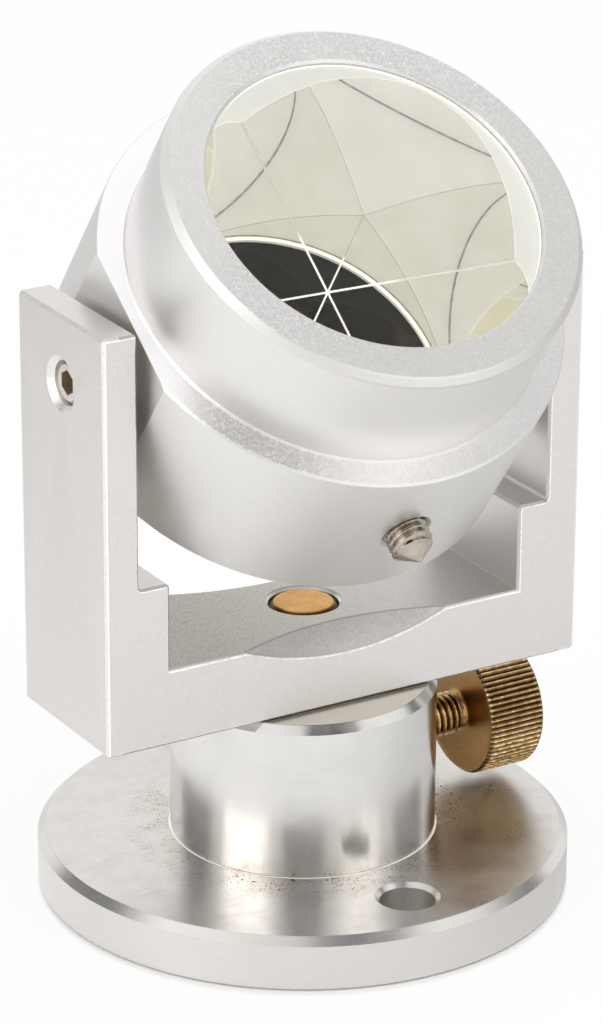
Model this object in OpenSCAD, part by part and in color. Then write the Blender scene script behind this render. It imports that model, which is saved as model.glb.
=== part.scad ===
// Surveying prism: a corner-cube glass in a round head, tilting in a U-shaped yoke
// that turns on a flanged post. Millimetres, +Z up, origin at the centre of the
// flange's underside. The yoke's open side faces -Y and the tilt axis lies along X.

/* [Flange] */
// Diameter of the flange
flange_d = 60; // [54:0.5:80]
// Thickness of the flange
flange_t = 6.2; // [6:0.1:12]
// Chamfer round the flange's upper edge
flange_edge = 0.9; // [0.3:0.1:1.5]
// Diameter of the fixing holes in the flange
hole_d = 6.2; // [4:0.1:7]
// Diameter of the circle that the fixing holes lie on
hole_circle_d = 45; // [42:0.5:47]
// Number of fixing holes, the first at the front
hole_count = 2; // [2:1:6]
// Chamfer at both mouths of a fixing hole
hole_edge = 0.5; // [0.2:0.1:1]

/* [Post] */
// Diameter of the post
post_d = 30; // [26:0.5:34]
// Height of the post above the flange
post_h = 18.1; // [17:0.1:30]
// Chamfer round the post's top
post_edge = 0.9; // [0.3:0.1:1.5]
// Diameter of the spigot that turns in the post
spigot_d = 14; // [12:0.5:17]

/* [Thumb screw] */
// Height of the thumb screw above the flange
clamp_h = 8.9; // [8.4:0.1:9]
// Diameter of the knurled knob
knob_d = 15; // [10:0.5:16]
// Length of the knurled knob
knob_len = 7; // [5:0.5:12]
// Free thread between the post's side and the knob when clamped
knob_reach = 5.7; // [4:0.1:10]
// Number of ridges round the knob
knurl_count = 72; // [30:1:80]

/* [Yoke] */
// Width of the yoke over both arms
yoke_w = 60; // [58:0.5:70]
// Depth of the yoke, front to back
yoke_t = 19; // [17:0.5:24]
// Thickness of the yoke's floor
floor_t = 8.8; // [7:0.1:12]
// Thickness of an arm above its step
arm_t = 4.1; // [3:0.1:5]
// Thickness of an arm below its step
step_t = 7.8; // [6:0.1:9]
// Height of the step above the floor
step_h = 10; // [6:0.5:12]
// Clearance of the turning head above the floor
floor_gap = 2.87; // [2.5:0.01:8]
// Height of the arms above the tilt axis
arm_above = 7.7; // [5:0.1:12]
// Chamfer on the yoke's edges
yoke_edge = 0.35; // [0.1:0.05:0.6]
// Depth of the scallop in the floor's front and back edges
scallop_depth = 2.1; // [1.6:0.1:2.6]
// Radius of the scallop
scallop_r = 45; // [38:1:55]
// Slope of the scallop below level, in degrees
scallop_slope = 42; // [35:1:50]

/* [Head] */
// Angle of the prism's line of sight above level, in degrees
tilt_deg = 53.4; // [-25:0.1:200]
// Thickness of the washers between the arms and the head
washer_t = 1; // [0.5:0.1:2]
// Depth of the two flats on the head
flat_depth = 1.6; // [1:0.1:2.2]
// Distance from the tilt axis to the head's front shoulder
head_front = 10; // [8:0.5:11]
// Distance from the tilt axis to the head's rear face
head_back = 9.5; // [9.5:0.1:10.5]
// Width of the shoulder round the collar
shoulder_w = 3.1; // [2:0.1:4]
// Chamfer round the collar's front edge
collar_edge = 0.75; // [0.3:0.05:1]
// Thickness of the collar's wall round the glass
collar_wall = 4.25; // [3:0.05:5]
// How far the collar's lip covers the glass's rim
lip_w = 0.45; // [0.3:0.05:1]

/* [Prism] */
// Least height of the round side between the glass's front and its silvered faces
prism_rim = 1.06; // [0.5:0.02:2]
// Set back of the glass behind the collar's front face
prism_set = 0.9; // [0.8:0.05:1.2]
// Turn of the cube's edges about the line of sight, in degrees
prism_turn = 44.3; // [0:0.1:120]

/* [Screws] */
// Thread diameter of the thumb screw, pivot screws and index screw
thread_d = 5; // [4:0.5:5]
// Length of a pivot screw and of the index screw
grub_len = 8; // [7:0.5:8]
// Length of a grub screw's cone point
cone_len = 2.2; // [1.5:0.1:2.4]
// Width across the flats of a grub screw's hexagon socket
hex_w = 2.5; // [2:0.1:3]
// Depth of a pivot screw's end below the arm's outer face
grub_sink = 0.8; // [0.2:0.1:1]
// Height of the index point above the head's surface
index_out = 4.05; // [2.5:0.05:4.2]

/* [Fits] */
// Radial gap between a screw thread and its tapped hole
thread_gap = 0.05; // [0.02:0.01:0.1]
// Radial gap of the pivot points in their seats and of the spigot in its bore
turn_gap = 0.05; // [0.02:0.01:0.1]
// Gap between flat faces that slide on each other
face_gap = 0.05; // [0.02:0.01:0.1]
// Gap round pieces that are laid or pressed into place
seat_gap = 0.05; // [0.02:0.01:0.1]

/* [Hidden] */
$fn = 120;

// Cut a little past a face, so that no skin is left
past = 0.5;
// Small edge break on turned pieces
edge_break = 0.25;
// Chamfer on the end of a screw
screw_edge = 0.4;
// How far joined solids of one piece run into each other
join = 1;

// Heights of the stack on the vertical axis
post_top = flange_t + post_h;
yoke_z = post_top + face_gap;
floor_z = yoke_z + floor_t;
clamp_z = flange_t + clamp_h;

// The head fills the yoke, and the glass the head
flats_w = yoke_w - 2 * (arm_t + washer_t + 2 * face_gap);
head_d = flats_w + 2 * flat_depth;
collar_d = head_d - 2 * shoulder_w;
prism_d = collar_d - 2 * collar_wall;
prism_h = prism_d / sqrt(2) + prism_rim;
aperture_d = prism_d - 2 * lip_w;
head_sweep = sqrt(pow(head_front, 2) + pow(head_d / 2, 2));
pivot_z = floor_z + head_sweep + floor_gap;
yoke_top = pivot_z + arm_above;

// Joint between the flange and the post
post_foot_edge = 0.1;
boss_d = 20;
boss_h = 2;
base_screw_d = 6;
base_head_d = 12;
base_head_sink = 0.3;
base_cone_h = (base_head_d - base_screw_d) / 2;
base_socket_w = 4;
base_socket_depth = 2.2;
base_drill_gap = 0.2;

// Spigot, its bore and the clamping groove
bore_below_clamp = 4.4;
bore_floor_gap = 0.4;
groove_depth = 1;
spigot_edge = 0.6;
bore_r = spigot_d / 2 + turn_gap;
bore_z = clamp_z - bore_below_clamp;
base_screw_below_bore = 1.2;
base_screw_top = bore_z - base_screw_below_bore;
spigot_z = bore_z + bore_floor_gap;
groove_r = spigot_d / 2 - groove_depth;
groove_w = 5.6;
stud_d = 8;
stud_sink = 0.05;
stud_face_d = 6.6;
stud_hole_edge = 0.35;
ring_wire = 1.4;
ring_squeeze = 0.1;
ring_below_top = 2.4;
ring_z = post_top - ring_below_top;

// Thumb screw and its swivelling pad, clamped on the groove
male_r = thread_d / 2 - thread_gap;
tapped_r = thread_d / 2;
pad_edge = 0.3;
pad_r = tapped_r - pad_edge;
pad_x = groove_r + face_gap;
pad_len = 2;
tip_r = 1.2;
tip_len = 1;
neck_r = 1.9;
neck_len = 1.6;
knob_x = post_d / 2 + knob_reach;
knurl_depth = 0.3;
knob_edge = 0.4;

// Tilt joint
arm_x = yoke_w / 2 - arm_t;
flat_x = flats_w / 2;
grub_x = yoke_w / 2 - grub_sink;
grub_hole_edge = 0.65;
cone_tip_r = 0.25;
washer_d = 9;
step_fillet = 0.8;

// Inside of the head, along the line of sight from the tilt axis
cover_t = 2.5;
ledge_s = cover_t - head_back;
spring_h = 1.2;
cradle_back = 1.1;
apex_s = ledge_s + spring_h + cradle_back;
glass_s = apex_s + prism_h;
face_s = glass_s + prism_set;
seal_t = 0.25;
lip_s = glass_s + seal_t;
lip_edge = 0.3;
well_r = prism_d / 2 + 2 * seat_gap;
cover_wall = 4.4;
cover_d = head_d - 2 * cover_wall;
cube_lean = acos(1 / sqrt(3));
cradle_wall = 3.5;
cradle_h = (prism_d / 2 - cradle_wall) / tan(cube_lean);
cradle_hole_r = 2.6;
spring_t = 0.4;
spring_play = 1.15;
spring_w = 6;
spring_out_r = well_r - spring_play;
spring_in_r = spring_out_r - spring_w;
o_wire = 1.2;
o_inset = 1.6;
o_mean_r = cover_d / 2 - o_inset;
o_seat = 1;
spanner_d = 2.5;
spanner_inset = 8;
spanner_circle_d = cover_d - 2 * spanner_inset;
spanner_depth = 1.4;
hex_depth = 2.5;

// Puts a piece made along its line of sight (+Z) on the tilt axis, at its angle.
module in_head() {
    translate([0, 0, pivot_z])
        rotate([90 - tilt_deg, 0, 0])
            children();
}

// Turned disc from z0 to z1 with a 45 degree chamfer at each end.
module chamfered_disc(r, z0, z1, low, high) {
    rotate_extrude()
        polygon([[0, z0], [r - low, z0], [r, z0 + low], [r, z1 - high], [r - high, z1], [0, z1]]);
}

// Tapped or drilled hole up to z = 0 from below, with a chamfered mouth there.
module mouth_cut(r, depth, edge) {
    translate([0, 0, -depth])
        cylinder(r = r, h = depth + past);
    translate([0, 0, -edge])
        cylinder(r1 = r, r2 = r + edge + past, h = edge + past);
}

// Grub screw along +Z: hexagon socket end at z = 0, cone point at z = grub_len.
module grub_screw() {
    difference() {
        rotate_extrude()
            polygon([[0, 0], [male_r - screw_edge, 0], [male_r, screw_edge],
                [male_r, grub_len - cone_len], [cone_tip_r, grub_len], [0, grub_len]]);
        translate([0, 0, -past])
            cylinder(r = hex_w / sqrt(3), h = hex_depth + past, $fn = 6);
    }
}

// Seat for a grub screw's point, as the screw grown by the turning gap.
module point_seat() {
    translate([0, 0, -past])
        cylinder(r = male_r + turn_gap, h = grub_len - cone_len + past);
    translate([0, 0, grub_len - cone_len])
        cylinder(r1 = male_r + turn_gap, r2 = cone_tip_r + turn_gap, h = cone_len + turn_gap);
}

// Outer and inner outline of the yoke, seen from the front, with filleted step corners.
module yoke_outline(inset) {
    half = yoke_w / 2 - inset;
    arm_in = arm_x + inset;
    step_in = yoke_w / 2 - step_t + inset;
    step_top = floor_z + step_h - inset;
    arc = [for (a = [0:15:90])
        [arm_in - step_fillet * (1 - cos(a)), step_top + step_fillet * (1 - sin(a))]];
    right = concat([[half, yoke_z + inset], [half, yoke_top - inset], [arm_in, yoke_top - inset]],
        arc, [[step_in, step_top], [step_in, floor_z - inset]]);
    left = [for (i = [len(right) - 1:-1:0]) [-right[i][0], right[i][1]]];
    polygon(concat(right, left));
}

// Sloping cylinder that scallops one long edge of the floor, side = -1 for the front.
module scallop(side) {
    edge_y = side * yoke_t / 2;
    reach = scallop_r - scallop_depth;
    intersection() {
        translate([0, edge_y + side * reach * sin(scallop_slope), floor_z + reach * cos(scallop_slope)])
            rotate([-side * (90 + scallop_slope), 0, 0])
                cylinder(r = scallop_r, h = 4 * yoke_t, center = true);
        translate([0, edge_y, yoke_z + floor_t / 2 + past])
            cube([yoke_w - 2 * step_t, yoke_t, floor_t], center = true);
    }
}

// O-ring of wire diameter wire, centred on the circle of radius mean_r at height z.
module o_ring(mean_r, wire, z) {
    translate([0, 0, z])
        rotate_extrude()
            translate([mean_r, 0])
                circle(d = wire, $fn = 48);
}

module base_flange() {
    color("gainsboro")
        difference() {
            chamfered_disc(flange_d / 2, 0, flange_t, edge_break, flange_edge);
            for (i = [0:hole_count - 1])
                rotate([0, 0, -90 + i * 360 / hole_count])
                    translate([hole_circle_d / 2, 0, flange_t]) {
                        mouth_cut(hole_d / 2, flange_t + past, hole_edge);
                        translate([0, 0, -flange_t])
                            mirror([0, 0, 1])
                                mouth_cut(hole_d / 2, past, hole_edge);
                    }
            translate([0, 0, flange_t - boss_h - seat_gap])
                cylinder(r = boss_d / 2 + seat_gap, h = boss_h + past);
            translate([0, 0, -past])
                cylinder(r = base_screw_d / 2 + base_drill_gap, h = flange_t);
            translate([0, 0, -past])
                cylinder(r = base_head_d / 2 + seat_gap, h = base_head_sink + past);
            translate([0, 0, base_head_sink])
                cylinder(d1 = base_head_d + 2 * seat_gap, d2 = base_screw_d + 2 * seat_gap,
                    h = base_cone_h);
        }
}

module base_post() {
    color("gainsboro")
        difference() {
            union() {
                chamfered_disc(post_d / 2, flange_t, post_top, post_foot_edge, post_edge);
                translate([0, 0, flange_t - boss_h])
                    cylinder(r = boss_d / 2, h = boss_h + join);
            }
            translate([0, 0, bore_z])
                cylinder(r = bore_r, h = post_top);
            translate([0, 0, post_top - edge_break])
                cylinder(r1 = bore_r, r2 = bore_r + edge_break + past, h = edge_break + past);
            translate([0, 0, flange_t - boss_h - past])
                cylinder(d = base_screw_d, h = bore_z - flange_t + boss_h + 2 * past);
            translate([0, 0, clamp_z])
                rotate([0, 90, 0])
                    cylinder(r = tapped_r, h = post_d);
        }
}

module base_screw() {
    color("silver")
        difference() {
            rotate_extrude()
                polygon([[0, base_head_sink], [base_head_d / 2, base_head_sink],
                    [base_screw_d / 2 - thread_gap, base_head_sink + base_cone_h],
                    [base_screw_d / 2 - thread_gap, base_screw_top - screw_edge],
                    [base_screw_d / 2 - thread_gap - screw_edge, base_screw_top],
                    [0, base_screw_top]]);
            translate([0, 0, -past])
                cylinder(r = base_socket_w / sqrt(3), h = base_head_sink + base_socket_depth + past, $fn = 6);
        }
}

module thumb_screw() {
    r = knob_d / 2;
    teeth = [for (i = [0:2 * knurl_count - 1])
        (r - (i % 2) * knurl_depth) * [cos(i * 180 / knurl_count), sin(i * 180 / knurl_count)]];
    trim = knob_edge + past;
    thread_x = pad_x + pad_len;
    color("peru")
        translate([0, 0, clamp_z])
            rotate([0, 90, 0]) {
                translate([0, 0, thread_x - tip_len])
                    cylinder(r = tip_r, h = tip_len + join);
                chamfered_disc(male_r, thread_x, knob_x - neck_len, screw_edge, screw_edge);
                translate([0, 0, knob_x - neck_len - join])
                    cylinder(r = neck_r, h = neck_len + 2 * join);
                intersection() {
                    translate([0, 0, knob_x - past])
                        linear_extrude(knob_len + 2 * past)
                            polygon(teeth);
                    chamfered_disc(r + past, knob_x, knob_x + knob_len, trim, trim);
                }
            }
}

module clamp_pad() {
    color("goldenrod")
        translate([pad_x, 0, clamp_z])
            rotate([0, 90, 0])
                difference() {
                    cylinder(r = pad_r, h = pad_len - face_gap);
                    translate([0, 0, pad_len - tip_len - face_gap])
                        cylinder(r = tip_r + turn_gap, h = pad_len);
                }
}

module pan_spigot() {
    stud_top = floor_z - stud_sink;
    stud_r = stud_d / 2 - thread_gap;
    stud_edge = stud_r - stud_face_d / 2;
    color("sandybrown")
        difference() {
            union() {
                chamfered_disc(spigot_d / 2, spigot_z, yoke_z, spigot_edge, 0);
                chamfered_disc(stud_r, yoke_z - join, stud_top, 0, stud_edge);
            }
            rotate_extrude()
                polygon([[groove_r, clamp_z - groove_w / 2], [spigot_d, clamp_z - groove_w / 2],
                    [spigot_d, clamp_z + groove_w / 2], [groove_r, clamp_z + groove_w / 2]]);
            rotate_extrude()
                translate([bore_r - turn_gap - ring_wire / 2 + ring_squeeze / 2, ring_z])
                    square([2 * ring_wire, ring_wire + 2 * seat_gap], center = true);
        }
}

module pan_ring() {
    ring_r = ring_wire / 2 - ring_squeeze / 2;
    color("dimgray")
        o_ring(bore_r - ring_r - seat_gap / 2, 2 * ring_r, ring_z);
}

module yoke() {
    color("whitesmoke")
        difference() {
            minkowski() {
                rotate([90, 0, 0])
                    linear_extrude(yoke_t - 2 * yoke_edge, center = true)
                        yoke_outline(yoke_edge);
                edge_bit();
            }
            for (side = [-1, 1]) {
                scallop(side);
                translate([side * yoke_w / 2, 0, pivot_z])
                    rotate([0, side * 90, 0])
                        mouth_cut(tapped_r, arm_t + past, grub_hole_edge);
            }
            translate([0, 0, floor_z])
                mouth_cut(stud_d / 2, floor_t + past, stud_hole_edge);
        }
}

// Eight-sided bit that gives every outer edge of the yoke its chamfer.
module edge_bit() {
    e = yoke_edge;
    polyhedron([[e, 0, 0], [-e, 0, 0], [0, e, 0], [0, -e, 0], [0, 0, e], [0, 0, -e]],
        [[0, 4, 2], [2, 4, 1], [1, 4, 3], [3, 4, 0], [2, 5, 0], [1, 5, 2], [3, 5, 1], [0, 5, 3]]);
}

module pivot_screw(side) {
    color("silver")
        translate([side * grub_x, 0, pivot_z])
            rotate([0, -side * 90, 0])
                grub_screw();
}

module tilt_washer(side) {
    color("white")
        translate([side * (flat_x + face_gap), 0, pivot_z])
            rotate([0, side * 90, 0])
                difference() {
                    cylinder(d = washer_d, h = arm_x - flat_x - 2 * face_gap);
                    translate([0, 0, -past])
                        cylinder(r = tapped_r, h = arm_t);
                }
}

module head_housing() {
    r = head_d / 2;
    collar_r = collar_d / 2;
    color("lightgray")
        in_head()
            difference() {
                rotate_extrude()
                    polygon([[well_r, ledge_s], [cover_d / 2 + seat_gap, ledge_s],
                        [cover_d / 2 + seat_gap, -head_back], [r - edge_break, -head_back],
                        [r, edge_break - head_back], [r, head_front - edge_break],
                        [r - edge_break, head_front], [collar_r + edge_break, head_front],
                        [collar_r, head_front + edge_break], [collar_r, face_s - collar_edge],
                        [collar_r - collar_edge, face_s], [aperture_d / 2 + lip_edge, face_s],
                        [aperture_d / 2, face_s - lip_edge], [aperture_d / 2, lip_s], [well_r, lip_s]]);
                for (side = [-1, 1]) {
                    translate([side * (flat_x + r), 0, 0])
                        cube([2 * r, 3 * r, 2 * face_s], center = true);
                    translate([side * grub_x, 0, 0])
                        rotate([0, -side * 90, 0])
                            point_seat();
                }
                translate([0, -r, 0])
                    rotate([90, 0, 0])
                        mouth_cut(tapped_r, r - well_r + past, 2 * edge_break + head_crown());
            }
}

// How far the head's round surface falls away across the index screw's hole.
function head_crown() = head_d / 2 - sqrt(pow(head_d / 2, 2) - pow(tapped_r, 2));

module front_seal() {
    color("ivory")
        in_head()
            translate([0, 0, glass_s])
                difference() {
                    cylinder(r = well_r - seat_gap, h = seal_t);
                    translate([0, 0, -past])
                        cylinder(d = aperture_d, h = seal_t + 2 * past);
                }
}

module prism_glass() {
    color("lightcyan")
        in_head()
            translate([0, 0, apex_s])
                rotate([0, 0, prism_turn])
                    intersection() {
                        cylinder(d = prism_d, h = prism_h);
                        rotate([0, -cube_lean, 0])
                            rotate([0, 0, -45])
                                cube(2 * prism_h);
                    }
}

module prism_cradle() {
    cone_h = cradle_h + seat_gap + past;
    color("ivory")
        in_head()
            translate([0, 0, apex_s])
                difference() {
                    translate([0, 0, -cradle_back])
                        cylinder(r = well_r - seat_gap, h = cradle_back + cradle_h);
                    translate([0, 0, -seat_gap])
                        cylinder(r1 = 0, r2 = tan(cube_lean) * cone_h, h = cone_h);
                    translate([0, 0, -cradle_back - past])
                        cylinder(r = cradle_hole_r, h = 2 * cradle_back + past);
                }
}

module spring_washer() {
    top = ledge_s + spring_h;
    color("silver")
        in_head()
            rotate_extrude()
                polygon([[spring_in_r, top - spring_t], [spring_out_r, ledge_s],
                    [spring_out_r, ledge_s + spring_t], [spring_in_r, top]]);
}

module rear_cover() {
    color("gainsboro")
        in_head()
            difference() {
                chamfered_disc(cover_d / 2, -head_back, ledge_s, edge_break, 0);
                rotate_extrude()
                    translate([o_mean_r - o_wire / 2 - seat_gap, ledge_s - o_seat])
                        square([o_wire + 2 * seat_gap, o_seat + past]);
                for (side = [-1, 1])
                    translate([side * spanner_circle_d / 2, 0, -head_back - past])
                        cylinder(d = spanner_d, h = spanner_depth + past);
            }
}

module rear_seal() {
    color("dimgray")
        in_head()
            o_ring(o_mean_r, o_seat, ledge_s - o_seat / 2);
}

module index_screw() {
    color("silver")
        in_head()
            translate([0, grub_len - head_d / 2 - index_out, 0])
                rotate([90, 0, 0])
                    grub_screw();
}

base_flange();
base_post();
base_screw();
thumb_screw();
clamp_pad();
pan_spigot();
pan_ring();
yoke();
pivot_screw(-1);  // pivot_screw_left
pivot_screw(1);  // pivot_screw_right
tilt_washer(-1);  // tilt_washer_left
tilt_washer(1);  // tilt_washer_right
head_housing();
front_seal();
prism_glass();
prism_cradle();
spring_washer();
rear_cover();
rear_seal();
index_screw();
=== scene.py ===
"""Surveying prism: a corner-cube glass in a blasted aluminium head, tilting in a yoke that
turns on a flanged post. Lengths in this file are millimetres; meshes are made in metres."""
import math

import bpy
import numpy as np
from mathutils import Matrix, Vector


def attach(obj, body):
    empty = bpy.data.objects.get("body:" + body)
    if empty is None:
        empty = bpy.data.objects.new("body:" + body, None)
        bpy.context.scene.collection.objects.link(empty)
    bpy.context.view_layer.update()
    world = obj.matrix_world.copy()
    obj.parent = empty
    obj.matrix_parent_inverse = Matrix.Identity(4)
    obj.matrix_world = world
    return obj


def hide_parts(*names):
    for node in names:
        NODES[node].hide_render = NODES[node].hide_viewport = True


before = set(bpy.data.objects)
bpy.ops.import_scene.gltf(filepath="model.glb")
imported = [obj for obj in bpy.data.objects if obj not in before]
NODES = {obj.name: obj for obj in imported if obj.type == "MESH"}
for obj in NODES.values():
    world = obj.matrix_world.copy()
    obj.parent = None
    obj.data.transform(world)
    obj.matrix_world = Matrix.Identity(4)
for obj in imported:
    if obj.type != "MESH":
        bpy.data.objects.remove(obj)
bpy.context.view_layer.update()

MM = 0.001
scene = bpy.context.scene

# Sizes and places, most of which the solids have too. GLASS_FRONT and those that end in _S lie
# along the line of sight, from the tilt axis
POST_R = 15.0
POST_TOP = 24.3
FLANGE_R = 30.0
FLANGE_TOP = 6.2
YOKE_FLOOR = 33.15
YOKE_HALF_T = 9.5
YOKE_EDGE = 0.35
YOKE_CORNER_X = 28.0
SCALLOP_DEPTH = 3.6
FLOOR_HALF_W = 22.2
PIVOT_Z = 64.25
TILT = math.radians(53.4)
HEAD_R = 26.4
SHOULDER_S = 10.0
BEVEL_S = 23.0
FACE_S = 24.2
GLASS_R = 19.05
GLASS_H = 28.0
GLASS_FRONT = 23.3
GLASS_TURN = math.radians(44.3)
GLASS_BEVEL = 0.14
GLASS_RIM = 0.15
SILVER_EDGE = 0.14
STUD_FACE_R = 3.35
CLAMP_Z = 15.1
KNOB_X = 20.7
KNOB_R = 7.5
KNOB_LEN = 7.0
KNOB_EDGE = 0.4
KNURL_COUNT = 72
KNURL_DEPTH = 0.3
KNOB_FILLET = 0.7
NECK_R = 1.9
NECK_LEN = 0.5
TIP_R = 1.2
THREAD_START = 8.05
THREAD_R = 2.45
THREAD_PITCH = 0.8
THREAD_DEPTH = 0.61 * THREAD_PITCH
THREAD_FADE = 0.5
GRUB_LEN = 8.0
GRUB_CONE = 2.2
GRUB_X = 29.2
SOCKET_W = 2.5
SOCKET_DEPTH = 2.5
SCREW_EDGE = 0.4
INDEX_OUT = 4.05
INDEX_BLUNT = 0.18

# Directions across the head's front in which its finish changes. Towards the first the shoulder is
# painted paler, a painted highlight; towards the second the ring is painted greyer, as painted
# shade
MILKY_LIT_SIDE = (-0.906, 0.423, 0)
LOWER_SIDE = (0.55, -0.83, 0)

# Points round a screw and across a ridge of the knob, and the angle from which an edge is sharp
SCREW_POINTS = 96
RIDGE_POINTS = 8
SHARP_ANGLE = math.radians(32)
NICKS_SEED = 7

# Skins of the glass, in the order of its slots
GLASS, SIDE, SILVER, RIM, COAT, BEVEL = range(6)
GLASS_GLOW = 0.49

# Settings of nodes that are used again and again
EASED = {"interpolation_type": "SMOOTHSTEP"}
TIMES = {"operation": "MULTIPLY"}
LARGER = {"operation": "MAXIMUM"}
COLOURS = {"data_type": "RGBA"}


def linear(code):
    """sRGB hex colour as linear RGBA."""
    c = np.array([int(code[i:i + 2], 16) / 255 for i in (1, 3, 5)])
    c = np.where(c <= 0.04045, c / 12.92, ((c + 0.055) / 1.055) ** 2.4)
    return (*c.tolist(), 1.0)


def outlet(value):
    """A node's first output in use; anything else is returned as it is."""
    if isinstance(value, bpy.types.Node):
        return next(out for out in value.outputs if out.enabled)
    return value


def add(tree, kind, *inputs, **settings):
    """Adds a node with its settings. The inputs fill its sockets in order, each with a number, a
    colour or a link from a node or socket, and None leaves a socket as it is."""
    made = tree.nodes.new("ShaderNode" + kind)
    for key, value in settings.items():
        setattr(made, key, value)
    free = [socket for socket in made.inputs if socket.enabled]
    for socket, value in zip(free, map(outlet, inputs)):
        if isinstance(value, bpy.types.NodeSocket):
            tree.links.new(value, socket)
        elif value is not None:
            socket.default_value = value
    return made


def material(name, **sockets):
    """New material with one Principled shader, its uniform values given by socket name with _ for
    a space. Returns it, its tree, the shader and the coordinates."""
    mat = bpy.data.materials.new(name)
    mat.use_nodes = True
    tree = mat.node_tree
    tree.nodes.clear()
    shader = add(tree, "BsdfPrincipled")
    for socket, value in sockets.items():
        shader.inputs[socket.replace("_", " ")].default_value = value
    add(tree, "OutputMaterial", shader)
    return mat, tree, shader, add(tree, "TexCoord")


def feed(tree, shader, **sockets):
    """Links nodes or sockets to the shader's sockets, named with _ for a space."""
    for name, value in sockets.items():
        tree.links.new(outlet(value), shader.inputs[name.replace("_", " ")])


def sized(size):
    """Scale of a noise or of cells that are size mm wide."""
    return 1 / (size * MM)


def dots(tree, place, cell, share, size):
    """Mask of round dots of size mm, in the given share of cells that are cell mm wide."""
    cells = add(tree, "TexVoronoi", place, sized(cell))
    pick = add(tree, "SeparateColor", cells.outputs["Color"])
    chosen = add(tree, "Math", pick, 1.0 - share, operation="GREATER_THAN")
    radius = size / cell / 2
    inside = add(tree, "MapRange", cells.outputs["Distance"], radius * 1.2, radius * 0.7, **EASED)
    return add(tree, "Math", chosen, inside, **TIMES)


def between(tree, value, low, high, soft=0.05):
    """Mask that is 1 where value lies between low and high mm, with edges soft mm wide."""
    above = add(tree, "MapRange", value, (low - soft) * MM, (low + soft) * MM, **EASED)
    below = add(tree, "MapRange", value, (high + soft) * MM, (high - soft) * MM, **EASED)
    return add(tree, "Math", above, below, **TIMES)


def from_axis(tree, place):
    """Distance from the pan axis."""
    flat = add(tree, "VectorMath", place, (1, 1, 0), **TIMES)
    return add(tree, "VectorMath", flat, operation="LENGTH")


def blasted(tree, shader, place, dark, tone, coarse):
    """Colour and roughness of bead-blasted, clear anodised aluminium, whose relief it sets. The
    beads leave fine pits, seen as a silky grain with bright points, stronger where coarse is 1; the
    bright points are painted highlights, white in the colour. The real pits of 0.05 mm are drawn at
    0.16 and 0.2 mm, so that they show."""
    pits = add(tree, "TexNoise", place, sized(0.16), 1.0)
    craters = add(tree, "TexVoronoi", place, sized(0.2)).outputs["Color"]
    craters = add(tree, "SeparateColor", craters)
    cloud = add(tree, "TexNoise", place, sized(9), 3.0)
    grain = add(tree, "MapRange", pits, 0.3, 0.7, **EASED)
    fine = add(tree, "Mix", grain, linear(dark), linear(tone), **COLOURS)
    deep = add(tree, "Mix", craters, linear("#cbc9c8"), linear("#f3f2f0"), **COLOURS)
    # Painted highlights: the brightest craters are painted white as flashes
    painted_flashes = add(tree, "MapRange", craters, 0.86, 0.94, **EASED)
    deep = add(tree, "Mix", painted_flashes, deep, linear("#ffffff"), **COLOURS)
    colour = add(tree, "Mix", coarse, fine, deep, **COLOURS)
    even = add(tree, "MapRange", cloud, 0.3, 0.7, 0.0, 0.35, **EASED)
    colour = add(tree, "Mix", even, colour, linear(tone), **COLOURS)
    # Painted highlights: a few dots are painted white as glints
    painted_glints = add(tree, "Math", dots(tree, place, 0.9, 0.05, 0.15), 0.8, **TIMES)
    colour = add(tree, "Mix", painted_glints, colour, linear("#ffffff"), **COLOURS)
    feed(tree, shader, Normal=add(tree, "Bump", 0.25, 0.02 * MM, None, pits))
    return colour, add(tree, "MapRange", pits, 0.3, 0.7, 0.45, 0.37, **EASED)


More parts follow.
